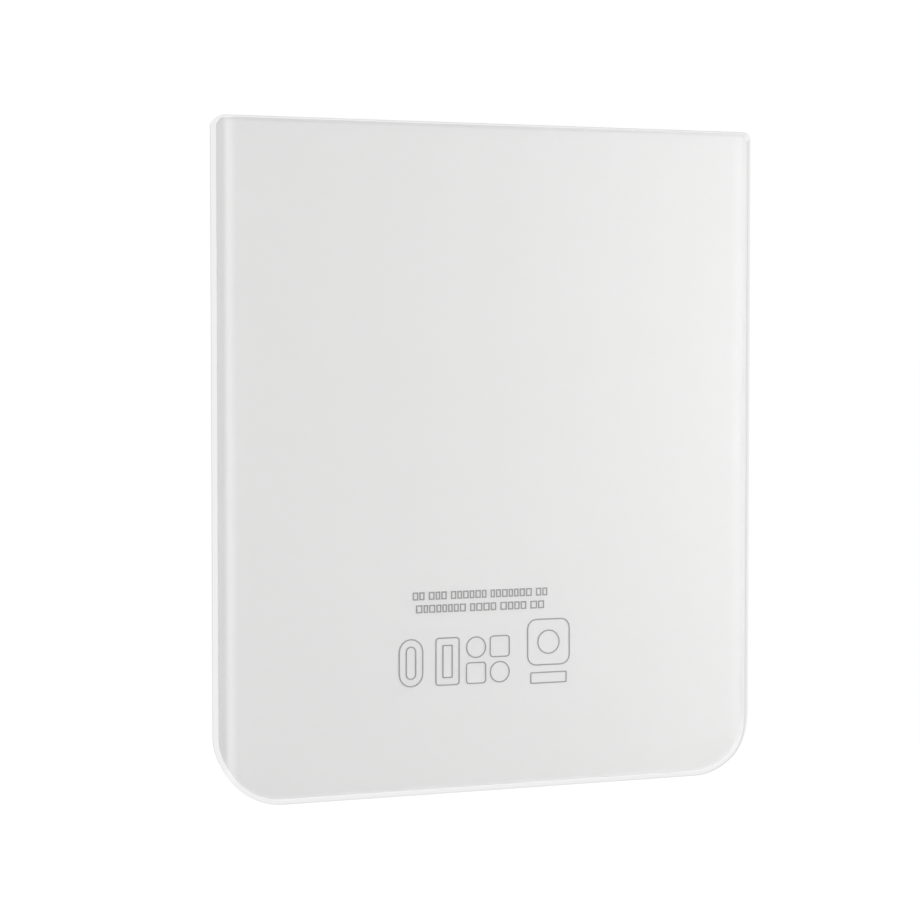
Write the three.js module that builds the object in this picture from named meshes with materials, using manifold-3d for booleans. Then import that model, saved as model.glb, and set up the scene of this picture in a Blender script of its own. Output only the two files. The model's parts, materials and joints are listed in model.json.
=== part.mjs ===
// Bonded rear cover of a small hand-held device: a clear glass panel with curved long sides, the
// white colour film laminated behind it, the ink between the two, and the tapes, foam pads and
// release liners on its inner face.
//
// Units are millimetres. +X is to the right when looking at the outer face, +Z is up, towards the
// square-cornered edge, and -Y is the way the outer face looks. The origin is the middle of the
// panel on the bonding plane, which is the face of both tapes that sticks to the device.
import * as THREE from "three";
import { mergeVertices } from "three/addons/utils/BufferGeometryUtils.js";
import Module from "manifold-3d";

const wasm = await Module();
wasm.setup();

// ---- Driving dimensions ----

// Glass panel
const panelWidth = 70;
const panelHeight = 80;
const lowerCornerRadius = 8.1;
const upperCornerRadius = 1.2;
const glassThickness = 0.6;
const sideCurveWidth = 2.8; // how far in from each long edge the surface starts to fall away
const sideDrop = 1.2; // how far the outer surface has fallen at the long edges
const lowerEdgeRounding = 0.5; // across the outer face, along the lower edge and its corners
const lowerEdgeRoundingDepth = 0.3; // the same rounding, into the glass

// Colour film and its opaque backing, each a sheet that follows the curved glass
const laminationGap = 0.06; // the clear adhesive between glass and film, left as a gap
const filmThickness = 0.1;
const filmRim = 0.6; // clear glass left round the film at the sides and the lower edge
const filmRimUpper = 0.2; // the same at the upper edge
const sheetGap = 0.02; // between any two sheets that lie on each other
const backingThickness = 0.05;
const backingRim = 0.3; // film left round the backing

// Ink, in the lamination gap
const inkThickness = 0.03;
const inkLine = 0.15;
const inkAboveLowerEdge = 12.9;
const markHeight = 5.8;
const markCentreX = -1.1;

// Perimeter gasket of double-sided foam tape
const gasketThickness = 0.3;
const gasketFromCurve = 0.8; // from the start of the side curve to the gasket's outer edge
const gasketSideWidth = 1.8;
const gasketUpperInset = 0.9;
const gasketUpperWidth = 2.8;
const gasketLowerInset = 1.6;
const gasketLowerWidth = 2.2;
const tapeCornerRadius = 0.8; // of the gasket's upper corners and of the centre tape

// Centre tape
const centreTapeWidth = 24;
const centreTapeHeight = 8;

// Heat-spreading sheet
const graphiteThickness = 0.1;
const graphiteCornerRadius = 2;
const graphiteNotchWidth = 9;
const graphiteNotchDepth = 3;

// Foam pads
const foamThickness = 0.5;
const batteryPadWidth = 3;
const batteryPadLength = 44;
const padGap = 1; // in the plane, between any two pieces on the inner face
const coilPadSideMargin = 5; // graphite left at each side of the coil pads
const coilChannel = 3; // between the centre tape and each coil pad
const lowerPadHeight = 7;
const speakerPadWidth = 12;
const connectorPadWidth = 10;
const insulatorWidth = 8;
const insulatorThickness = 0.08;
const lowerPadSpacing = 3;

// Release liners
const linerThickness = 0.1;
const linerOverhang = 0.4; // past the edges of the tape it covers
const pullTabWidth = 10;
const pullTabLength = 11;
const gripThickness = 0.1;
const gripMargin = 0.8; // liner left round the grip on each pull tab
const centreTabShort = 3; // graphite left beyond the centre liner's pull tab

// Fineness of the round stretches
const sideCurveSteps = 8;
const cornerSteps = 6;
const inkCornerSteps = 2;
const edgeRoundingSteps = 3;

// ---- Levels along Y, counted from the bonding plane at y = 0 ----

const backingInnerY = -gasketThickness - sheetGap;
const filmInnerY = backingInnerY - backingThickness - sheetGap;
const filmOuterY = filmInnerY - filmThickness;
const glassInnerY = filmOuterY - laminationGap;
const glassOuterY = glassInnerY - glassThickness;
const graphiteOuterY = backingInnerY + sheetGap;
const graphiteInnerY = graphiteOuterY + graphiteThickness;
const onGraphiteY = graphiteInnerY + sheetGap;
const onBackingY = backingInnerY + sheetGap;

// ---- Places in the panel's plane ----

const panelSide = panelWidth / 2;
const panelUpper = panelHeight / 2;
const panelLower = -panelHeight / 2;
const gasketSide = panelSide - sideCurveWidth - gasketFromCurve;
const gasketUpper = panelUpper - gasketUpperInset;
const gasketLower = panelLower + gasketLowerInset;
const gasketCorner = lowerCornerRadius - (panelSide - gasketSide);
const insideSide = gasketSide - gasketSideWidth;
const insideUpper = gasketUpper - gasketUpperWidth;
const insideLower = gasketLower + gasketLowerWidth;
const insideCorner = Math.max(gasketCorner - gasketSideWidth, gasketSideWidth / 2);
const batteryPadX = insideSide - linerOverhang - padGap - batteryPadWidth / 2;
const graphiteSide = batteryPadX - batteryPadWidth / 2 - padGap;
const graphiteUpper = insideUpper - linerOverhang - padGap;
const lowerPadsBottom = insideLower + linerOverhang + padGap;
const lowerPadsTop = lowerPadsBottom + lowerPadHeight;
const graphiteLower = lowerPadsTop + padGap;
const coilPadSide = graphiteSide - coilPadSideMargin;
const coilPadUpper = insideUpper - pullTabLength - padGap;
const coilPadLower = graphiteLower + padGap;
const coilPadInner = centreTapeHeight / 2 + coilChannel;

// ---- Solids ----

function solidOf(geometry) {
  const bare = geometry.clone();
  bare.deleteAttribute("normal");
  bare.deleteAttribute("uv");
  const merged = mergeVertices(bare, 1e-4);
  return new wasm.Manifold(
    new wasm.Mesh({
      numProp: 3,
      vertProperties: merged.attributes.position.array,
      triVerts: new Uint32Array(merged.index.array),
    }),
  );
}

function geometryOf(solid) {
  const { vertProperties, triVerts } = solid.getMesh();
  const geometry = new THREE.BufferGeometry();
  geometry.setAttribute("position", new THREE.BufferAttribute(vertProperties, 3));
  geometry.setIndex(new THREE.BufferAttribute(triVerts, 1));
  geometry.computeVertexNormals();
  return geometry;
}

// A flat outline drawn as (x, z), made into a plate from y = 0 to y = thickness.
function plate(outline, thickness, steps = cornerSteps) {
  const geometry = new THREE.ExtrudeGeometry(outline, {
    depth: thickness,
    bevelEnabled: false,
    curveSegments: steps,
  });
  geometry.rotateX(Math.PI / 2);
  geometry.translate(0, thickness, 0);
  return geometry;
}

// Traces a rectangle with its own radius at the upper and the lower corners into a shape or path.
// A radius is at most half of the shorter side.
function traceRectangle(path, box, wantedLowerRadius, wantedUpperRadius = wantedLowerRadius) {
  const { left, right, lower, upper } = box;
  const most = Math.min(right - left, upper - lower) / 2 - 0.01;
  const lowerRadius = Math.min(wantedLowerRadius, most);
  const upperRadius = Math.min(wantedUpperRadius, most);
  path.moveTo(left + lowerRadius, lower);
  path.lineTo(right - lowerRadius, lower);
  path.absarc(right - lowerRadius, lower + lowerRadius, lowerRadius, -Math.PI / 2, 0);
  path.lineTo(right, upper - upperRadius);
  path.absarc(right - upperRadius, upper - upperRadius, upperRadius, 0, Math.PI / 2);
  path.lineTo(left + upperRadius, upper);
  path.absarc(left + upperRadius, upper - upperRadius, upperRadius, Math.PI / 2, Math.PI);
  path.lineTo(left, lower + lowerRadius);
  path.absarc(left + lowerRadius, lower + lowerRadius, lowerRadius, Math.PI, 1.5 * Math.PI);
  return path;
}

function boxAround(x, z, width, height) {
  return { left: x - width / 2, right: x + width / 2, lower: z - height / 2, upper: z + height / 2 };
}

function grown(box, by) {
  return { left: box.left - by, right: box.right + by, lower: box.lower - by, upper: box.upper + by };
}

function roundedShape(box, lowerRadius, upperRadius) {
  return traceRectangle(new THREE.Shape(), box, lowerRadius, upperRadius);
}

// The wall between two surfaces that lie `from` and `to` behind the panel's outer surface. It is
// flat in the middle, and its sides follow an arc that starts level and ends sideDrop further back.
function gutter(from, to) {
  const past = 0.3; // it runs this far past the panel's edges, so that a cut makes the edges
  const flatSide = panelSide - sideCurveWidth;
  const turn = 2 * Math.atan(sideDrop / sideCurveWidth);
  const radius = sideCurveWidth / Math.sin(turn);
  const sideArc = (side, depth) => {
    const reach = radius - depth;
    const end = Math.asin(Math.min(1, (sideCurveWidth + past) / reach));
    const points = [];
    for (let step = 0; step <= sideCurveSteps; step++) {
      const angle = (end * step) / sideCurveSteps;
      points.push(
        new THREE.Vector2(
          side * (flatSide + reach * Math.sin(angle)),
          glassOuterY + radius - reach * Math.cos(angle),
        ),
      );
    }
    return points;
  };
  const section = new THREE.Shape([
    ...sideArc(-1, from).reverse(),
    ...sideArc(1, from),
    ...sideArc(1, to).reverse(),
    ...sideArc(-1, to),
  ]);
  const length = panelHeight + 2 * past;
  const geometry = new THREE.ExtrudeGeometry(section, { depth: length, bevelEnabled: false });
  geometry.translate(0, 0, panelLower - past);
  return solidOf(geometry);
}

// A gutter cut to a rounded outline, with `rim` left at the sides and below, and `rimUpper` above.
function curvedSheet(from, to, rim = 0, rimUpper = 0) {
  const outline = roundedShape(
    {
      left: -panelSide + rim,
      right: panelSide - rim,
      lower: panelLower + rim,
      upper: panelUpper - rimUpper,
    },
    lowerCornerRadius - rim,
    Math.max(upperCornerRadius - rimUpper, upperCornerRadius / 2),
  );
  const cutter = plate(outline, 2 * (sideDrop + to));
  cutter.translate(0, glassOuterY - sideDrop, 0);
  return gutter(from, to).intersect(solidOf(cutter));
}

// A block whose outer edges are rounded off. What it leaves of the glass has a rounded lower edge;
// it stands past the upper edge, which stays sharp.
function edgeRounder() {
  const box = boxAround(0, 0, panelWidth, panelHeight);
  box.upper += 2 * lowerEdgeRounding;
  const depth = 2 * (sideDrop + glassThickness);
  const geometry = new THREE.ExtrudeGeometry(roundedShape(box, lowerCornerRadius, upperCornerRadius), {
    depth,
    bevelThickness: lowerEdgeRoundingDepth,
    bevelSize: lowerEdgeRounding,
    bevelOffset: -lowerEdgeRounding,
    bevelSegments: edgeRoundingSteps,
    curveSegments: cornerSteps,
  });
  geometry.rotateX(Math.PI / 2);
  geometry.translate(0, glassOuterY + depth + lowerEdgeRoundingDepth, 0);
  return solidOf(geometry);
}

// ---- Materials ----

function material(color, roughness, metalness = 0, opacity = 1) {
  return new THREE.MeshStandardMaterial({
    color,
    roughness,
    metalness,
    opacity,
    transparent: opacity < 1,
  });
}

const clearGlass = material(0xf4f7f7, 0.05, 0, 0.35);
const whiteFilm = material(0xe6e6e5, 0.35);
const greyBacking = material(0xb9bbbd, 0.6);
const greyInk = material(0x8f8f8f, 0.6);
const blackTape = material(0x1b1c1e, 0.8);
const graphiteFoil = material(0x3a3b3e, 0.45);
const charcoalFoam = material(0x2b2c2f, 0.95);
const whiteTape = material(0xd9d9d4, 0.7);
const amberFilm = material(0xb5741d, 0.3);
const blueLiner = material(0xcfe0ea, 0.25, 0, 0.35);
const blueGrip = material(0x2f6fb3, 0.45);

// ---- Sub-parts ----

const cover = new THREE.Group();

function addPiece(name, geometry, look, y = 0) {
  const mesh = new THREE.Mesh(geometry, look);
  mesh.name = name;
  mesh.position.y = y;
  cover.add(mesh);
}

function addGlassAndFilms() {
  const filmFrom = glassThickness + laminationGap;
  const filmTo = filmFrom + filmThickness;
  const backingFrom = filmTo + sheetGap;
  const backingTo = backingFrom + backingThickness;
  const glass = curvedSheet(0, glassThickness).intersect(edgeRounder());
  const film = curvedSheet(filmFrom, filmTo, filmRim, filmRimUpper);
  const backing = curvedSheet(
    backingFrom,
    backingTo,
    filmRim + backingRim,
    filmRimUpper + backingRim,
  );
  addPiece("glass_panel", geometryOf(glass), clearGlass);
  addPiece("colour_film", geometryOf(film), whiteFilm);
  addPiece("opaque_backing", geometryOf(backing), greyBacking);
}

// A closed line of ink: an outline less the same outline one line width further in.
function inkLoop(box, radius) {
  const shape = roundedShape(box, radius);
  shape.holes.push(
    traceRectangle(new THREE.Path(), grown(box, -inkLine), Math.max(radius - inkLine, inkLine / 2)),
  );
  return shape;
}

function addInk() {
  const inkY = glassInnerY + (laminationGap - inkThickness) / 2;
  const addInkShape = (name, shape) =>
    addPiece(name, plate(shape, inkThickness, inkCornerSteps), greyInk, inkY);

  // Two short rows of plain bars, in place of lines of small print.
  const rows = [
    { above: 5.05, widths: [1.5, 2.3, 4.6, 5.4, 1.5] },
    { above: 3.5, widths: [6.4, 3.4, 3.4, 1.8] },
  ];
  const barHeight = 0.95;
  const barGap = 0.56;
  const rowCentreX = markCentreX - 0.7;
  const marksTop = panelLower + inkAboveLowerEdge + markHeight;
  rows.forEach(({ above, widths }, row) => {
    const total = widths.reduce((sum, width) => sum + width + barGap, -barGap);
    let left = rowCentreX - total / 2;
    widths.forEach((width, i) => {
      const bar = boxAround(left + width / 2, marksTop + above, width, barHeight);
      addInkShape(`print_row_${row + 1}_bar_${i + 1}`, roundedShape(bar, barHeight / 3));
      left += width + barGap;
    });
  });

  // A row of plain outline shapes, each two lines deep like an outlined band.
  const bandWidth = 0.9;
  const middleZ = marksTop - markHeight / 2;
  const addBand = (name, box, radius) => {
    addInkShape(`${name}_outer`, inkLoop(box, radius));
    addInkShape(`${name}_inner`, inkLoop(grown(box, -bandWidth), Math.max(radius - bandWidth, inkLine)));
  };
  const slimWidth = 3.15;
  const slimStep = 4.7;
  const firstX = markCentreX - 9.7;
  addBand("print_capsule", boxAround(firstX, middleZ, slimWidth, markHeight), slimWidth / 2);
  addBand("print_slot", boxAround(firstX + slimStep, middleZ, slimWidth, markHeight), inkLine * 3);

  // Four small cells, round and square by turns.
  const cellSize = 2.65;
  const cellStep = 3.1;
  const cellsX = markCentreX + 0.25;
  for (const [columnName, column] of [["left", -1], ["right", 1]])
    for (const [levelName, level] of [["upper", 1], ["lower", -1]]) {
      const x = cellsX + (column * cellStep) / 2;
      const z = middleZ + (level * cellStep) / 2;
      const isRound = column !== level;
      const radius = isRound ? cellSize / 2 : inkLine * 3;
      const cell = inkLoop(boxAround(x, z, cellSize, cellSize), radius);
      addInkShape(`print_cell_${levelName}_${columnName}`, cell);
    }

  // A tall rounded square with a ring in it, over a plain bar.
  const badgeX = markCentreX + 8.25;
  const badgeSize = 5.7;
  const badgeRingSize = 3;
  const badgeZ = marksTop + 1.75 - badgeSize / 2;
  addInkShape("print_badge_frame", inkLoop(boxAround(badgeX, badgeZ, badgeSize, badgeSize), 1.2));
  addInkShape(
    "print_badge_ring",
    inkLoop(boxAround(badgeX, badgeZ, badgeRingSize, badgeRingSize), badgeRingSize / 2),
  );
  const footWidth = 4.85;
  const footHeight = 1.42;
  const footZ = marksTop - markHeight + footHeight / 4;
  addInkShape("print_badge_foot", inkLoop(boxAround(badgeX, footZ, footWidth, footHeight), inkLine));
}

// The gasket's ring, grown on both of its edges by `overhang`.
function gasketRing(overhang) {
  const outside = { left: -gasketSide, right: gasketSide, lower: gasketLower, upper: gasketUpper };
  const inside = { left: -insideSide, right: insideSide, lower: insideLower, upper: insideUpper };
  const ring = roundedShape(
    grown(outside, overhang),
    gasketCorner + overhang,
    tapeCornerRadius + overhang,
  );
  const hole = traceRectangle(
    new THREE.Path(),
    grown(inside, -overhang),
    Math.max(insideCorner - overhang, overhang),
    tapeCornerRadius,
  );
  ring.holes.push(hole);
  return ring;
}

function addTapes() {
  addPiece("bond_gasket", plate(gasketRing(0), gasketThickness), blackTape, -gasketThickness);
  const tape = roundedShape(boxAround(0, 0, centreTapeWidth, centreTapeHeight), tapeCornerRadius);
  addPiece("centre_tape", plate(tape, -onGraphiteY), whiteTape, onGraphiteY);
}

function addGraphite() {
  const sheet = roundedShape(
    { left: -graphiteSide, right: graphiteSide, lower: graphiteLower, upper: graphiteUpper },
    graphiteCornerRadius,
  );
  const notchBox = boxAround(0, graphiteUpper, graphiteNotchWidth, 2 * graphiteNotchDepth);
  const notch = plate(roundedShape(notchBox, graphiteNotchDepth / 3), 3 * graphiteThickness);
  notch.translate(0, -graphiteThickness, 0);
  const cut = solidOf(plate(sheet, graphiteThickness)).subtract(solidOf(notch));
  addPiece("graphite_sheet", geometryOf(cut), graphiteFoil, graphiteOuterY);
}

function addPads() {
  const padRadius = 0.6;
  const addPad = (name, box, y, look = charcoalFoam, thickness = foamThickness) =>
    addPiece(name, plate(roundedShape(box, padRadius), thickness), look, y);

  for (const [name, side] of [["left", -1], ["right", 1]])
    addPad(
      `battery_pad_${name}`,
      boxAround(side * batteryPadX, 0, batteryPadWidth, batteryPadLength),
      onBackingY,
    );

  addPad(
    "coil_pad_upper",
    { left: -coilPadSide, right: coilPadSide, lower: coilPadInner, upper: coilPadUpper },
    onGraphiteY,
  );
  addPad(
    "coil_pad_lower",
    { left: -coilPadSide, right: coilPadSide, lower: coilPadLower, upper: -coilPadInner },
    onGraphiteY,
  );

  const lowerPadsZ = (lowerPadsBottom + lowerPadsTop) / 2;
  const lowerRow = speakerPadWidth + connectorPadWidth + insulatorWidth + 2 * lowerPadSpacing;
  const speakerX = -lowerRow / 2 + speakerPadWidth / 2;
  const connectorX = speakerX + (speakerPadWidth + connectorPadWidth) / 2 + lowerPadSpacing;
  const insulatorX = connectorX + (connectorPadWidth + insulatorWidth) / 2 + lowerPadSpacing;
  addPad("speaker_pad", boxAround(speakerX, lowerPadsZ, speakerPadWidth, lowerPadHeight), onBackingY);
  addPad(
    "connector_pad",
    boxAround(connectorX, lowerPadsZ, connectorPadWidth, lowerPadHeight),
    onBackingY,
  );
  addPad(
    "insulating_patch",
    boxAround(insulatorX, lowerPadsZ, insulatorWidth, lowerPadHeight),
    onBackingY,
    amberFilm,
    insulatorThickness,
  );
}

// A liner's tape outline and its pull tabs as one sheet, and a coloured grip on each tab.
function addLiner(name, outline, tabs) {
  const tabRadius = 2;
  const sheet = tabs.reduce(
    (solid, tab) => solid.add(solidOf(plate(roundedShape(tab.box, tabRadius), linerThickness))),
    solidOf(plate(outline, linerThickness)),
  );
  addPiece(name, geometryOf(sheet), blueLiner, sheetGap);
  const gripY = sheetGap + linerThickness + sheetGap;
  for (const tab of tabs)
    addPiece(
      tab.grip,
      plate(roundedShape(tab.gripBox, tabRadius - gripMargin), gripThickness),
      blueGrip,
      gripY,
    );
}

function addLiners() {
  const tabX = graphiteSide - pullTabWidth / 2;
  const gasketTab = (side, sideName) => {
    const box = {
      ...boxAround(side * tabX, 0, pullTabWidth, 0),
      lower: insideUpper - pullTabLength,
      upper: insideUpper + gasketUpperWidth / 2,
    };
    const gripBox = { ...grown(box, -gripMargin), upper: insideUpper - linerOverhang - gripMargin };
    return { box, gripBox, grip: `pull_grip_${sideName}` };
  };
  addLiner("gasket_liner", gasketRing(linerOverhang), [gasketTab(-1, "left"), gasketTab(1, "right")]);

  const overTape = grown(boxAround(0, 0, centreTapeWidth, centreTapeHeight), linerOverhang);
  const box = { ...overTape, left: 0, right: graphiteSide - centreTabShort };
  const gripBox = { ...grown(box, -gripMargin), left: overTape.right + gripMargin };
  addLiner("centre_liner", roundedShape(overTape, tapeCornerRadius), [
    { box, gripBox, grip: "pull_grip_centre" },
  ]);
}

addGlassAndFilms();
addInk();
addTapes();
addGraphite();
addPads();
addLiners();

export default cover;
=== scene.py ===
"""The looks of a bonded glass rear cover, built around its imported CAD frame.

Lengths in this script are millimetres until mesh_object() turns them into metres. +X is to the
right when looking at the outer face, +Z is up, and -Y is the way the outer face looks.
"""
import json
import math
import random

import bmesh
import bpy
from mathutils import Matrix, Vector


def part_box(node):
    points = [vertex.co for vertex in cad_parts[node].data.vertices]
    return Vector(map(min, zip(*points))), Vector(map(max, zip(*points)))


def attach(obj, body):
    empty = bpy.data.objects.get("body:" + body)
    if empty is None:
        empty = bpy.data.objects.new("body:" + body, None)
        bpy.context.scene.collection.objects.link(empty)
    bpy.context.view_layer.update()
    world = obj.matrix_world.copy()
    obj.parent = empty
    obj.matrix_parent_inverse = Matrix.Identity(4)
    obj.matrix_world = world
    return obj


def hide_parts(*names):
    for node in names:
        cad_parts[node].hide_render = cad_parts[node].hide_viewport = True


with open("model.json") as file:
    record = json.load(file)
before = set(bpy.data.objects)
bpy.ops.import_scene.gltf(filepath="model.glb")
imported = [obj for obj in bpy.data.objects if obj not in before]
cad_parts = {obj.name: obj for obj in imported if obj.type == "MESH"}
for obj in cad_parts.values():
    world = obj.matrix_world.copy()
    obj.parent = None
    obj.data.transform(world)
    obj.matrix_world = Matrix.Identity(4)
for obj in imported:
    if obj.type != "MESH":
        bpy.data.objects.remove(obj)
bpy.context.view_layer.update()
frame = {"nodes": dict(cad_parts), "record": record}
MM = 0.001

# ---- The panel's shape, as in the CAD model ----
SIDE_CURVE = 2.8
SIDE_DROP = 1.2
GLASS = 0.6
FILM_FROM = 0.66
FILM = 0.1
BACKING_FROM = 0.78
BACKING = 0.05
LOWER_RADIUS = 8.1
UPPER_RADIUS = 1.2
FILM_RIM = 0.6
FILM_RIM_UPPER = 0.2
BACKING_RIM = 0.3
LOWER_ROUNDING = 0.5
LOWER_ROUNDING_DEPTH = 0.3
FINE_EDGE = 0.1
FILM_EDGE = 0.02
BACKING_EDGE = 0.01
SHARPEST_CORNER = 0.02
SMOOTH_ANGLE = math.radians(35)
LEAST_BEVELLED_ANGLE = math.radians(60)


def box_mm(*nodes):
    """The lowest and highest corners of some CAD nodes together, in millimetres."""
    corners = [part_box(node) for node in nodes]
    low = [min(c[0][i] for c in corners) / MM for i in range(3)]
    high = [max(c[1][i] for c in corners) / MM for i in range(3)]
    return Vector(low), Vector(high)


PANEL_LOW, PANEL_HIGH = box_mm("glass_panel")
HALF_WIDTH = PANEL_HIGH.x
HALF_HEIGHT = PANEL_HIGH.z
OUTER_Y = PANEL_LOW.y
CURVE_RADIUS = SIDE_CURVE / math.sin(2 * math.atan(SIDE_DROP / SIDE_CURVE))


# ---- Meshes ----
def mesh_object(name, points, faces):
    """A mesh object from points in millimetres, with its normals facing out."""
    mesh = bpy.data.meshes.new(name)
    mesh.from_pydata([Vector(p) * MM for p in points], [], faces)
    shape = bmesh.new()
    shape.from_mesh(mesh)
    bmesh.ops.remove_doubles(shape, verts=shape.verts, dist=1e-8)
    bmesh.ops.recalc_face_normals(shape, faces=shape.faces)
    finish_shape(shape, mesh)
    piece = bpy.data.objects.new(name, mesh)
    bpy.context.scene.collection.objects.link(piece)
    return piece


def finish_shape(shape, mesh):
    """Writes a bmesh to its mesh, smooth except where two faces meet at a sharp angle."""
    for face in shape.faces:
        face.smooth = True
    for edge in shape.edges:
        edge.smooth = len(edge.link_faces) == 2 and edge.calc_face_angle(0.0) < SMOOTH_ANGLE
    shape.to_mesh(mesh)
    shape.free()


def rounded_outline(left, right, lower, upper, lower_radius, upper_radius, fine=1.0):
    """The (x, z) points of a rounded rectangle, anticlockwise from the lower right corner.

    The count of points doesn't depend on the sizes, so that outlines can be joined in loops.
    """
    lower_steps, upper_steps = max(3, round(28 * fine)), max(3, round(10 * fine))
    side_steps, end_steps = 6, max(4, round(60 * fine))
    corners = [
        (right - lower_radius, lower + lower_radius, lower_radius, lower_steps, -90),
        (right - upper_radius, upper - upper_radius, upper_radius, upper_steps, 0),
        (left + upper_radius, upper - upper_radius, upper_radius, upper_steps, 90),
        (left + lower_radius, lower + lower_radius, lower_radius, lower_steps, 180),
    ]
    points = []
    for index, (x, z, radius, steps, start) in enumerate(corners):
        for step in range(steps + 1):
            angle = math.radians(start + 90 * step / steps)
            points.append((x + radius * math.cos(angle), z + radius * math.sin(angle)))
        next_x, next_z, next_radius, _, next_start = corners[(index + 1) % 4]
        angle = math.radians(next_start)
        goal = (next_x + next_radius * math.cos(angle), next_z + next_radius * math.sin(angle))
        along = side_steps if index % 2 == 0 else end_steps
        x0, z0 = points[-1]
        for step in range(1, along):
            share = 0.5 - 0.5 * math.cos(math.pi * step / along)
            points.append((x0 + (goal[0] - x0) * share, z0 + (goal[1] - z0) * share))
    return points


def joined_loops(loops):
    """Points and faces of a closed skin through loops of equal length, capped at both ends."""
    count = len(loops[0])
    points = [point for loop in loops for point in loop]
    faces = []
    for ring in range(len(loops) - 1):
        for i in range(count):
            j = (i + 1) % count
            a, b = ring * count, (ring + 1) * count
            faces.append((a + i, a + j, b + j, b + i))
    faces.append(tuple(range(count))[::-1])
    last = (len(loops) - 1) * count
    faces.append(tuple(range(last, last + count)))
    return points, faces


def round_off(inset, size, depth):
    """How far a rounded edge has fallen at this distance in from it."""
    if inset >= size:
        return 0.0
    return depth * (1 - math.sqrt(max(0.0, 1 - (1 - inset / size) ** 2)))


def smoothstep(low, high, value):
    share = min(1.0, max(0.0, (value - low) / (high - low)))
    return share * share * (3 - 2 * share)


def curved_y(x, depth):
    """Where the surface that lies `depth` behind the panel's outer one is, at this x."""
    past_flat = abs(x) - (HALF_WIDTH - SIDE_CURVE)
    if past_flat <= 0:
        return OUTER_Y + depth
    reach = CURVE_RADIUS - depth
    return OUTER_Y + CURVE_RADIUS - math.sqrt(reach * reach - past_flat * past_flat)


def panel_outline(inset, rim, rim_upper):
    """The panel's outline less a rim, moved in by a further inset."""
    lower_radius = max(LOWER_RADIUS - rim - inset, SHARPEST_CORNER)
    upper_radius = max(UPPER_RADIUS - rim_upper - inset, SHARPEST_CORNER)
    return rounded_outline(
        -HALF_WIDTH + rim + inset,
        HALF_WIDTH - rim - inset,
        -HALF_HEIGHT + rim + inset,
        HALF_HEIGHT - rim_upper - inset,
        lower_radius,
        upper_radius,
    )


def panel_insets(edge_steps):
    """Distances in from a panel's edge: close at the edge, then even steps to the flat middle."""
    first = 0.7
    last = SIDE_CURVE + 0.4
    steps = 22
    return edge_steps + [first + (last - first) * i / steps for i in range(steps + 1)]


def panel_sheet(
    name, front, back, rim, rim_upper, front_edge, back_edge, edge_steps, wall_shares=()
):
    """A curved sheet between two depths, with its edges rounded by front_edge and back_edge.

    Each edge is a function that gives its size and depth at a height z. wall_shares are the places
    through the end wall, from 0 to 1, that get a loop of their own.
    """
    insets = panel_insets(edge_steps)
    loops = []
    for inset in reversed(insets):
        loop = []
        for x, z in panel_outline(inset, rim, rim_upper):
            loop.append((x, curved_y(x, front) + round_off(inset, *front_edge(z)), z))
        loops.append(loop)
    for share in wall_shares:
        loop = []
        for x, z in panel_outline(0.0, rim, rim_upper):
            start = curved_y(x, front) + round_off(0.0, *front_edge(z))
            end = curved_y(x, back) - round_off(0.0, *back_edge(z))
            loop.append((x, start + (end - start) * share, z))
        loops.append(loop)
    for inset in insets:
        loop = []
        for x, z in panel_outline(inset, rim, rim_upper):
            loop.append((x, curved_y(x, back) - round_off(inset, *back_edge(z)), z))
        loops.append(loop)
    piece = mesh_object(name, *joined_loops(loops))
    mark_places(piece, rim, rim_upper, front, back)
    return piece


def distance_to_outline(x, z, rim, rim_upper):
    """How far inside the panel's outline less a rim a point lies."""
    right = HALF_WIDTH - rim - abs(x)
    up = HALF_HEIGHT - rim_upper - z
    down = HALF_HEIGHT - rim + z
    radius = LOWER_RADIUS - rim
    if right < radius and down < radius:
        return radius - math.hypot(radius - right, radius - down)
    return min(right, up, down)


def mark_places(piece, rim, rim_upper, front, back):
    """Stores where each point is, for the sheet's material: edge_mm is its distance to the edge, and
    through goes from 0 on the front surface to 1 on the back one."""
    edge = piece.data.attributes.new("edge_mm", "FLOAT", "POINT")
    through = piece.data.attributes.new("through", "FLOAT", "POINT")
    for point, edge_value, through_value in zip(piece.data.vertices, edge.data, through.data):
        x, y, z = point.co / MM
        front_y, back_y = curved_y(x, front), curved_y(x, back)
        edge_value.value = distance_to_outline(x, z, rim, rim_upper)
        through_value.value = (y - front_y) / (back_y - front_y)


def fine_copy(name, node, bevel=0.0):
    """A copy of a CAD node's shape with clean faces, and its sharp edges bevelled."""
    mesh = frame["nodes"][node].data.copy()
    mesh.name = name
    mesh.materials.clear()
    shape = bmesh.new()
    shape.from_mesh(mesh)
    bmesh.ops.remove_doubles(shape, verts=shape.verts, dist=1e-7)
    bmesh.ops.dissolve_limit(
        shape, angle_limit=math.radians(1), verts=shape.verts, edges=shape.edges
    )
    if bevel:
        sharp = [e for e in shape.edges if e.calc_face_angle(0.0) > LEAST_BEVELLED_ANGLE]
        bmesh.ops.bevel(
            shape,
            geom=sharp,
            offset=bevel * MM,
            segments=2,
            affect="EDGES",
            clamp_overlap=True,
        )
    finish_shape(shape, mesh)
    piece = bpy.data.objects.new(name, mesh)
    bpy.context.scene.collection.objects.link(piece)
    return piece


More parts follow.
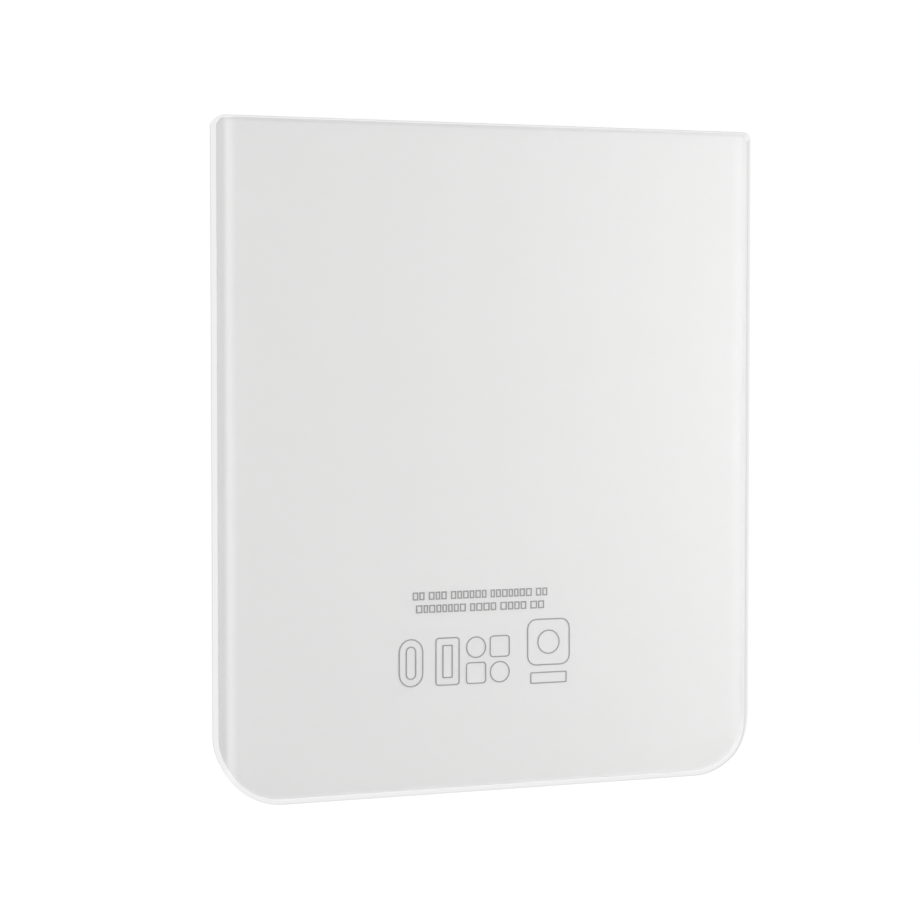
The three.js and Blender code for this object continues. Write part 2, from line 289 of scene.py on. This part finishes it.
# ---- Materials ----
class NodeTree:
    """Adds nodes to a node tree; an input is a plain value or another node's output."""

    def __init__(self, tree):
        self.tree = tree

    def add(self, kind, inputs=None, **settings):
        node = self.tree.nodes.new(kind)
        for key, value in settings.items():
            setattr(node, key, value)
        for key, value in (inputs or {}).items():
            self.feed(node.inputs[key], value)
        return node

    def feed(self, socket, value):
        if isinstance(value, bpy.types.NodeSocket):
            self.tree.links.new(value, socket)
        else:
            socket.default_value = value

    def maths(self, operation, *values):
        return self.add("ShaderNodeMath", dict(enumerate(values)), operation=operation).outputs[0]

    def spread(self, value, low, high, from_low=0.3, from_high=0.7, kind="LINEAR"):
        """Runs from low to high as the value runs from from_low to from_high."""
        inputs = {0: value, 1: from_low, 2: from_high, 3: low, 4: high}
        node = self.add("ShaderNodeMapRange", inputs, interpolation_type=kind)
        return node.outputs["Result"]


class Nodes(NodeTree):
    """One material and its node tree."""

    def __init__(self, name):
        self.material = bpy.data.materials.new(name)
        self.material.use_nodes = True
        super().__init__(self.material.node_tree)
        self.tree.nodes.clear()
        self.output = self.add("ShaderNodeOutputMaterial")

    def place(self):
        return self.add("ShaderNodeTexCoord").outputs["Object"]

    def stored(self, name):
        return self.add("ShaderNodeAttribute", attribute_name=name).outputs["Fac"]

    def squeezed_place(self, scale):
        return self.add("ShaderNodeMapping", {"Vector": self.place(), "Scale": scale}).outputs[0]

    def noise(self, scale, detail=3.0, roughness=0.5, vector=None):
        inputs = {"Scale": scale, "Detail": detail, "Roughness": roughness}
        inputs["Vector"] = vector or self.place()
        return self.add("ShaderNodeTexNoise", inputs).outputs["Fac"]

    def cells(self, scale, vector=None):
        inputs = {"Scale": scale, "Vector": vector or self.place()}
        return self.add("ShaderNodeTexVoronoi", inputs).outputs["Distance"]

    def blend(self, share, first, second):
        node = self.add("ShaderNodeMix", data_type="RGBA")
        self.feed(node.inputs[0], share)
        self.feed(node.inputs[6], first)
        self.feed(node.inputs[7], second)
        return node.outputs[2]

    def bump(self, height, distance_mm):
        inputs = {"Height": height, "Distance": distance_mm * MM, "Strength": 1.0}
        return self.add("ShaderNodeBump", inputs).outputs["Normal"]

    def principled(self, **inputs):
        named = {key.replace("_", " "): value for key, value in inputs.items()}
        self.show(self.add("ShaderNodeBsdfPrincipled", named).outputs[0])

    def show(self, shader_output):
        self.tree.links.new(shader_output, self.output.inputs["Surface"])


def grey(value, warm=0.0):
    return (value * (1 + warm), value, value * (1 - warm), 1.0)


def clear_glass():
    """Polished glass, too thin to bend anything visibly: clear with a trace of tint, and a mirror
    where it is seen at a slant. Its rim is painted a little darker, as painted shade for the light
    that real glass loses at its edge, and its end wall is roughened towards the inner corner and
    painted grey there, as painted shade, so that it reads as a fine grey line.
    """
    m = Nodes("clear_glass")
    head_on_mirror = 0.04
    facing = m.add("ShaderNodeLayerWeight", {"Blend": 0.5}).outputs["Facing"]
    slant = m.maths("POWER", facing, 5.0)
    mirror = m.maths("MULTIPLY_ADD", slant, 1 - head_on_mirror, head_on_mirror)
    smears = m.spread(m.noise(90, detail=4), 0.05, 0.1)
    edge = m.stored("edge_mm")
    at_edge = m.spread(edge, 1.0, 0.0, 0.01, 0.1)
    inner_corner = m.spread(m.stored("through"), 0.15, 1.0, 0.3, 0.7)
    # The rough end wall, which also carries the painted shade of the edge.
    ground_and_shaded_edge = m.maths("MULTIPLY", at_edge, inner_corner)
    rough = m.maths("MULTIPLY_ADD", ground_and_shaded_edge, 0.3, smears)
    # Painted shade: the rim is painted darker, for the light that real glass loses at its edge.
    rim = m.spread(edge, 1.0, 0.0, 0.4, 0.7)
    tint = m.blend(rim, (0.98, 0.981, 0.98, 1.0), (0.942, 0.944, 0.943, 1.0))
    # Painted shade: the rough edge is painted grey, for the dark line that a real glass edge shows.
    tint = m.blend(ground_and_shaded_edge, tint, grey(0.8))
    clear = m.add("ShaderNodeBsdfTransparent", {"Color": tint})
    gloss = m.add("ShaderNodeBsdfGlossy", {"Color": grey(1.0), "Roughness": rough})
    mix = m.add("ShaderNodeMixShader", {0: mirror, 1: clear.outputs[0], 2: gloss.outputs[0]})
    m.show(mix.outputs[0])
    return m.material


def white_film():
    """White pearl film: a faint cloudiness, fine mica grain, and a cut edge lightened by painted
    light.
    """
    m = Nodes("white_film")
    cloud = m.spread(m.noise(14, detail=2), 0.0, 1.0)
    grain = m.spread(m.noise(9000, detail=1), 0.0, 1.0)
    body = m.blend(cloud, grey(0.82, 0.004), grey(0.84, 0.002))
    body = m.blend(grain, body, grey(0.85))
    # Painted light: a lighter band along the cut edge, lifting the shade that falls at the film's
    # edge.
    line = m.spread(m.stored("edge_mm"), 1.0, 0.0, 0.1, 0.35)
    colour = m.blend(line, body, grey(0.9))
    m.principled(
        Base_Color=colour, Roughness=m.spread(grain, 0.32, 0.42, 0.0, 1.0), Specular_IOR_Level=0.3
    )
    return m.material


def grey_backing():
    """The opaque print behind the film: matt grey, screen-printed, with a soft orange peel."""
    m = Nodes("grey_backing")
    patches = m.spread(m.noise(60, detail=3), 0.0, 1.0)
    fine = m.noise(2600, detail=2)
    colour = m.blend(patches, grey(0.43, 0.004), grey(0.48, 0.002))
    m.principled(
        Base_Color=colour,
        Roughness=m.spread(fine, 0.5, 0.65),
        Normal=m.bump(fine, 0.012),
    )
    return m.material


def printed_ink():
    """Screen-printed grey ink, a little uneven in density."""
    m = Nodes("grey_ink")
    density = m.spread(m.noise(1800, detail=3), 0.0, 1.0)
    m.principled(
        Base_Color=m.blend(density, grey(0.34), grey(0.4)),
        Roughness=m.spread(density, 0.5, 0.65, 0.0, 1.0),
    )
    return m.material


def foam(name, dark, light, pore_scale, depth):
    """Fine-celled foam: rounded cells and the skin between them."""
    m = Nodes(name)
    place = m.place()
    pores = m.spread(m.cells(pore_scale, place), 0.0, 1.0, 0.1, 0.55)
    mottle = m.noise(260, detail=4, vector=place)
    colour = m.blend(pores, grey(dark), grey(light))
    colour = m.blend(m.spread(mottle, 0.0, 0.6), colour, grey((dark + light) / 2.4))
    height = m.maths("MULTIPLY_ADD", pores, mottle)
    m.principled(
        Base_Color=colour,
        Roughness=m.spread(mottle, 0.86, 0.98),
        Normal=m.bump(height, depth),
        Sheen_Weight=0.15,
        Sheen_Roughness=0.5,
    )
    return m.material


def graphite_foil():
    """Rolled graphite under a thin film: dark grey with fine rolling marks and a soft sheen."""
    m = Nodes("graphite_foil")
    rolling = m.noise(2400, detail=3, vector=m.squeezed_place((1.0, 1.0, 0.04)))
    flakes = m.cells(1500.0)
    colour = m.blend(m.spread(rolling, 0.0, 1.0), grey(0.035, -0.02), grey(0.075, -0.03))
    height = m.maths("ADD", rolling, flakes)
    m.principled(
        Base_Color=colour,
        Metallic=0.55,
        Roughness=m.spread(flakes, 0.3, 0.5, 0.0, 0.6),
        Normal=m.bump(height, 0.006),
        Coat_Weight=0.35,
        Coat_Roughness=0.12,
    )
    return m.material


def tissue_tape():
    """Off-white double-sided tissue tape, with its fibres showing."""
    m = Nodes("white_tape")
    fibres = m.noise(3200, detail=5, roughness=0.7, vector=m.squeezed_place((0.12, 1.0, 1.0)))
    colour = m.blend(m.spread(fibres, 0.0, 1.0), grey(0.55, 0.02), grey(0.74, 0.03))
    m.principled(
        Base_Color=colour,
        Roughness=m.spread(fibres, 0.35, 0.6),
        Normal=m.bump(fibres, 0.015),
    )
    return m.material


def film_sheet(name, first, second, opacity, roughness, ripple):
    """A thin plastic film with a gentle ripple, seen through by 1 - opacity."""
    m = Nodes(name)
    waves = m.noise(55, detail=2)
    specks = m.noise(1900, detail=2)
    height = m.maths("MULTIPLY_ADD", specks, 0.12, waves)
    m.principled(
        Base_Color=m.blend(m.spread(waves, 0.0, 1.0), first, second),
        Roughness=m.spread(specks, roughness, roughness + 0.1),
        Alpha=opacity,
        Normal=m.bump(height, ripple),
        Coat_Weight=0.5,
        Coat_Roughness=0.08,
    )
    return m.material


def floor_paint():
    """A pale light-table surface, which glows so evenly that hardly a shadow shows on it."""
    m = Nodes("floor_paint")
    tone = m.spread(m.noise(4, detail=2), 0.0, 1.0)
    m.principled(
        Base_Color=m.blend(tone, grey(0.04), grey(0.05)),
        Roughness=0.8,
        Specular_IOR_Level=0.0,
        Emission_Color=grey(1.0),
        Emission_Strength=0.98,
    )
    return m.material


AMBER = ((0.42, 0.14, 0.008, 1.0), (0.55, 0.22, 0.02, 1.0))
PALE_BLUE = ((0.55, 0.72, 0.83, 1.0), (0.62, 0.78, 0.88, 1.0))
STRONG_BLUE = ((0.02, 0.13, 0.42, 1.0), (0.03, 0.17, 0.5, 1.0))
MATERIALS = {
    "clear_glass": clear_glass(),
    "white_film": white_film(),
    "grey_backing": grey_backing(),
    "grey_ink": printed_ink(),
    "black_tape": foam("black_tape", dark=0.008, light=0.02, pore_scale=7000.0, depth=0.02),
    "charcoal_foam": foam("charcoal_foam", dark=0.012, light=0.045, pore_scale=3600.0, depth=0.05),
    "graphite_foil": graphite_foil(),
    "white_tape": tissue_tape(),
    "amber_film": film_sheet("amber_film", *AMBER, opacity=0.88, roughness=0.16, ripple=0.05),
    "blue_liner": film_sheet("blue_liner", *PALE_BLUE, opacity=0.42, roughness=0.14, ripple=0.12),
    "blue_grip": film_sheet("blue_grip", *STRONG_BLUE, opacity=1.0, roughness=0.22, ripple=0.06),
}
BODY_OF = {
    "gasket_liner": "gasket_liner",
    "pull_grip_left": "gasket_liner",
    "pull_grip_right": "gasket_liner",
    "centre_liner": "centre_liner",
    "pull_grip_centre": "centre_liner",
}
SLOT_OF = {entry["node"]: entry["material_slot"] for entry in frame["record"]["subparts"]}


def settle(piece, node):
    """Gives a piece its material and slot, puts it on its body, and lets it stand for its node."""
    slot = SLOT_OF[node]
    piece.data.materials.clear()
    piece.data.materials.append(MATERIALS[slot])
    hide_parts(node)
    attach(piece, BODY_OF.get(node, "cover"))
    return piece


# ---- The glass, the film and its backing ----
def lower_share(z):
    """1 along the lower edge, fading to 0 part of the way up the lower corners."""
    fades_from, fades_to = 2.5, 6.5
    return 1 - smoothstep(fades_from, fades_to, z + HALF_HEIGHT)


def glass_front_edge(z):
    share = lower_share(z)
    size = FINE_EDGE + (LOWER_ROUNDING - FINE_EDGE) * share
    depth = FINE_EDGE + (LOWER_ROUNDING_DEPTH - FINE_EDGE) * share
    return size, depth


def even_edge(size):
    return lambda z: (size, size)


def build_sheets():
    glass = panel_sheet(
        "glass_panel_fine",
        0.0,
        GLASS,
        0.0,
        0.0,
        glass_front_edge,
        even_edge(FINE_EDGE),
        [0.0, 0.008, 0.02, 0.04, 0.07, 0.1, 0.16, 0.24, 0.32, 0.4, 0.5, 0.6],
        wall_shares=[0.15, 0.3, 0.45, 0.6, 0.75, 0.9],
    )
    settle(glass, "glass_panel")
    film = panel_sheet(
        "colour_film_fine",
        FILM_FROM,
        FILM_FROM + FILM,
        FILM_RIM,
        FILM_RIM_UPPER,
        even_edge(FILM_EDGE),
        even_edge(FILM_EDGE),
        [0.0, 0.01, 0.02, 0.08, 0.12, 0.16, 0.2, 0.25, 0.3, 0.4, 0.55],
    )
    settle(film, "colour_film")
    backing = panel_sheet(
        "opaque_backing_fine",
        BACKING_FROM,
        BACKING_FROM + BACKING,
        FILM_RIM + BACKING_RIM,
        FILM_RIM_UPPER + BACKING_RIM,
        even_edge(BACKING_EDGE),
        even_edge(BACKING_EDGE),
        [0.0, 0.005, 0.01, 0.2, 0.45],
    )
    settle(backing, "opaque_backing")


# ---- The printed marks ----
def build_outline_marks():
    for node in frame["nodes"]:
        if node.startswith("print_") and "_row_" not in node:
            settle(fine_copy(node + "_fine", node), node)


def add_frame(points, faces, left, right, lower, upper, line, front, back):
    """Adds a small rectangular frame of ink, square at its corners."""
    start = len(points)
    for y in (front, back):
        for inset in (0.0, line):
            points.extend(
                [
                    (left + inset, y, lower + inset),
                    (right - inset, y, lower + inset),
                    (right - inset, y, upper - inset),
                    (left + inset, y, upper - inset),
                ]
            )
    outer_front, inner_front, outer_back, inner_back = (start + 4 * i for i in range(4))
    for i in range(4):
        j = (i + 1) % 4
        faces.append((outer_front + i, outer_front + j, inner_front + j, inner_front + i))
        faces.append((outer_back + j, outer_back + i, inner_back + i, inner_back + j))
        faces.append((outer_front + j, outer_front + i, outer_back + i, outer_back + j))
        faces.append((inner_front + i, inner_front + j, inner_back + j, inner_back + i))


def build_print_rows():
    """Each bar of a print row becomes a run of small blank frames, so that nothing can be read."""
    chooser = random.Random(7)
    line = 0.15
    gap = 0.16
    usual_width = 0.78
    for node in sorted(frame["nodes"]):
        if "_row_" not in node:
            continue
        low, high = box_mm(node)
        width = high.x - low.x
        count = max(2, round(width / usual_width))
        shares = [chooser.uniform(0.8, 1.2) for _ in range(count)]
        unit = (width - gap * (count - 1)) / sum(shares)
        points, faces = [], []
        left = low.x
        for share in shares:
            right = left + unit * share
            add_frame(points, faces, left, right, low.z, high.z, line, low.y, high.y)
            left = right + gap
        settle(mesh_object(node + "_fine", points, faces), node)


# ---- The inner face ----
def build_foam_pads():
    """Die-cut foam pads: cut square below, eased by the cutter above, and slightly crowned."""
    ease = 0.14
    crown = 0.03
    eased_insets = [0.0, 0.02, 0.05, 0.09, 0.14, 0.3, 0.6, 1.0]
    short_of_middle = 0.05
    for node in sorted(frame["nodes"]):
        if SLOT_OF[node] != "charcoal_foam":
            continue
        low, high = box_mm(node)
        half = min(high.x - low.x, high.z - low.z) / 2
        reach = half - short_of_middle - eased_insets[-1]
        insets = eased_insets + [eased_insets[-1] + reach * (i + 1) / 6 for i in range(6)]
        loops = []
        for y, inset in [(low.y, 0.25), (low.y, 0.02), (low.y + 0.02, 0.0)]:
            loops.append([(x, y, z) for x, z in pad_outline(low, high, inset)])
        for inset in insets:
            fall = round_off(inset, ease, ease) + crown * (1 - min(1.0, inset / half)) ** 2
            loops.append([(x, high.y - fall, z) for x, z in pad_outline(low, high, inset)])
        pad = settle(mesh_object(node + "_fine", *joined_loops(loops)), node)


def pad_outline(low, high, inset):
    radius = max(0.6 - inset, SHARPEST_CORNER)
    return rounded_outline(
        low.x + inset, high.x - inset, low.z + inset, high.z - inset, radius, radius, fine=0.3
    )


def build_flat_pieces():
    """The tapes, foil, films and liners: the CAD shapes with their cut edges eased."""
    bevels = {
        "bond_gasket": 0.05,
        "centre_tape": 0.03,
        "graphite_sheet": 0.025,
        "insulating_patch": 0.02,
        "gasket_liner": 0.02,
        "centre_liner": 0.02,
        "pull_grip_left": 0.02,
        "pull_grip_right": 0.02,
        "pull_grip_centre": 0.02,
    }
    for node, bevel in bevels.items():
        settle(fine_copy(node + "_fine", node, bevel), node)


# ---- The studio ----
CAMERA_AT = Vector((-124.82, -291.38, 13.98)) * MM
CAMERA_YAW = math.radians(22.474)
CAMERA_PITCH = math.radians(2.561)
CAMERA_LENS = 103.2
SENSOR_WIDTH = 36.0
BACKDROP_LIGHT = 1.01
ROOM_LIGHT = 0.49


def build_camera():
    data = bpy.data.cameras.new("camera")
    data.lens = CAMERA_LENS
    data.sensor_width = SENSOR_WIDTH
    data.clip_start = 0.01
    data.clip_end = 100.0
    camera = bpy.data.objects.new("camera", data)
    bpy.context.scene.collection.objects.link(camera)
    camera.location = CAMERA_AT
    camera.rotation_euler = (math.pi / 2 - CAMERA_PITCH, 0.0, -CAMERA_YAW)
    bpy.context.scene.camera = camera


def build_floor():
    """A floor just below the cover, which the camera sees but which puts no light on the cover."""
    half = 6.0
    gap = 0.00002
    height = PANEL_LOW.z * MM - gap
    corners = [(-half, -half), (half, -half), (half, half), (-half, half)]
    mesh = bpy.data.meshes.new("floor")
    mesh.from_pydata([(x, y, height) for x, y in corners], [], [(0, 1, 2, 3)])
    floor = bpy.data.objects.new("floor", mesh)
    bpy.context.scene.collection.objects.link(floor)
    mesh.materials.append(floor_paint())
    floor.visible_diffuse = False
    floor.visible_glossy = False


def add_lamp(name, place, aim, size, watts):
    data = bpy.data.lights.new(name, "AREA")
    data.shape = "RECTANGLE"
    data.size, data.size_y = size
    data.energy = watts
    lamp = bpy.data.objects.new(name, data)
    bpy.context.scene.collection.objects.link(lamp)
    lamp.location = place
    direction = Vector(aim) - Vector(place)
    lamp.rotation_euler = direction.to_track_quat("-Z", "Y").to_euler()
    lamp.visible_glossy = False
    return lamp


def fade_across(lamp):
    """Makes a lamp brightest along its middle, fading to nothing at its two sides."""
    lamp.data.use_nodes = True
    n = NodeTree(lamp.data.node_tree)
    on_lamp = n.add("ShaderNodeNewGeometry").outputs["Parametric"]
    across = n.add("ShaderNodeSeparateXYZ", {0: on_lamp}).outputs["X"]
    from_side = n.maths("PINGPONG", across, 0.5)
    strength = n.spread(from_side, 0.0, 1.0, 0.0, 0.5, kind="SMOOTHSTEP")
    n.feed(n.tree.nodes["Emission"].inputs["Strength"], strength)


def build_world():
    """A plain white backdrop for the camera. As light, the room is as bright behind the cover and
    dimmer in front of it."""
    world = bpy.data.worlds.new("studio")
    bpy.context.scene.world = world
    world.use_nodes = True
    n = NodeTree(world.node_tree)
    n.tree.nodes.clear()
    direction = n.add("ShaderNodeTexCoord").outputs["Generated"]
    behind = n.add("ShaderNodeSeparateXYZ", {0: direction}).outputs["Y"]
    room = n.spread(behind, BACKDROP_LIGHT, ROOM_LIGHT, 0.9, -0.1, kind="SMOOTHSTEP")
    seen = n.add("ShaderNodeLightPath").outputs["Is Camera Ray"]
    strength = n.spread(seen, room, BACKDROP_LIGHT, 0.0, 1.0, kind="SMOOTHSTEP")
    background = n.add("ShaderNodeBackground", {"Color": grey(1.0), "Strength": strength})
    n.add("ShaderNodeOutputWorld", {"Surface": background.outputs[0]})


def build_lamps():
    """Two soft boxes, and a strip that the curve of the cover's left side mirrors."""
    middle = (0.0, 0.0, 0.0)
    add_lamp("soft_box_right", (0.17, -0.14, 0.015), middle, (0.12, 0.16), watts=0.37)
    add_lamp("soft_box_left", (-0.25, -0.12, 0.0), middle, (0.08, 0.3), watts=0.34)
    strip_at, strip_aim = (-0.19, -0.45, -0.02), (-0.19, 0.0, -0.02)
    strip = add_lamp("strip_in_front", strip_at, strip_aim, (0.52, 0.26), watts=0.64)
    strip.visible_glossy = True
    fade_across(strip)


def set_view():
    view = bpy.context.scene.view_settings
    view.view_transform = "Standard"
    view.look = "None"


build_camera()
build_sheets()
build_outline_marks()
build_print_rows()
build_foam_pads()
build_flat_pieces()
build_floor()
build_world()
build_lamps()
set_view()
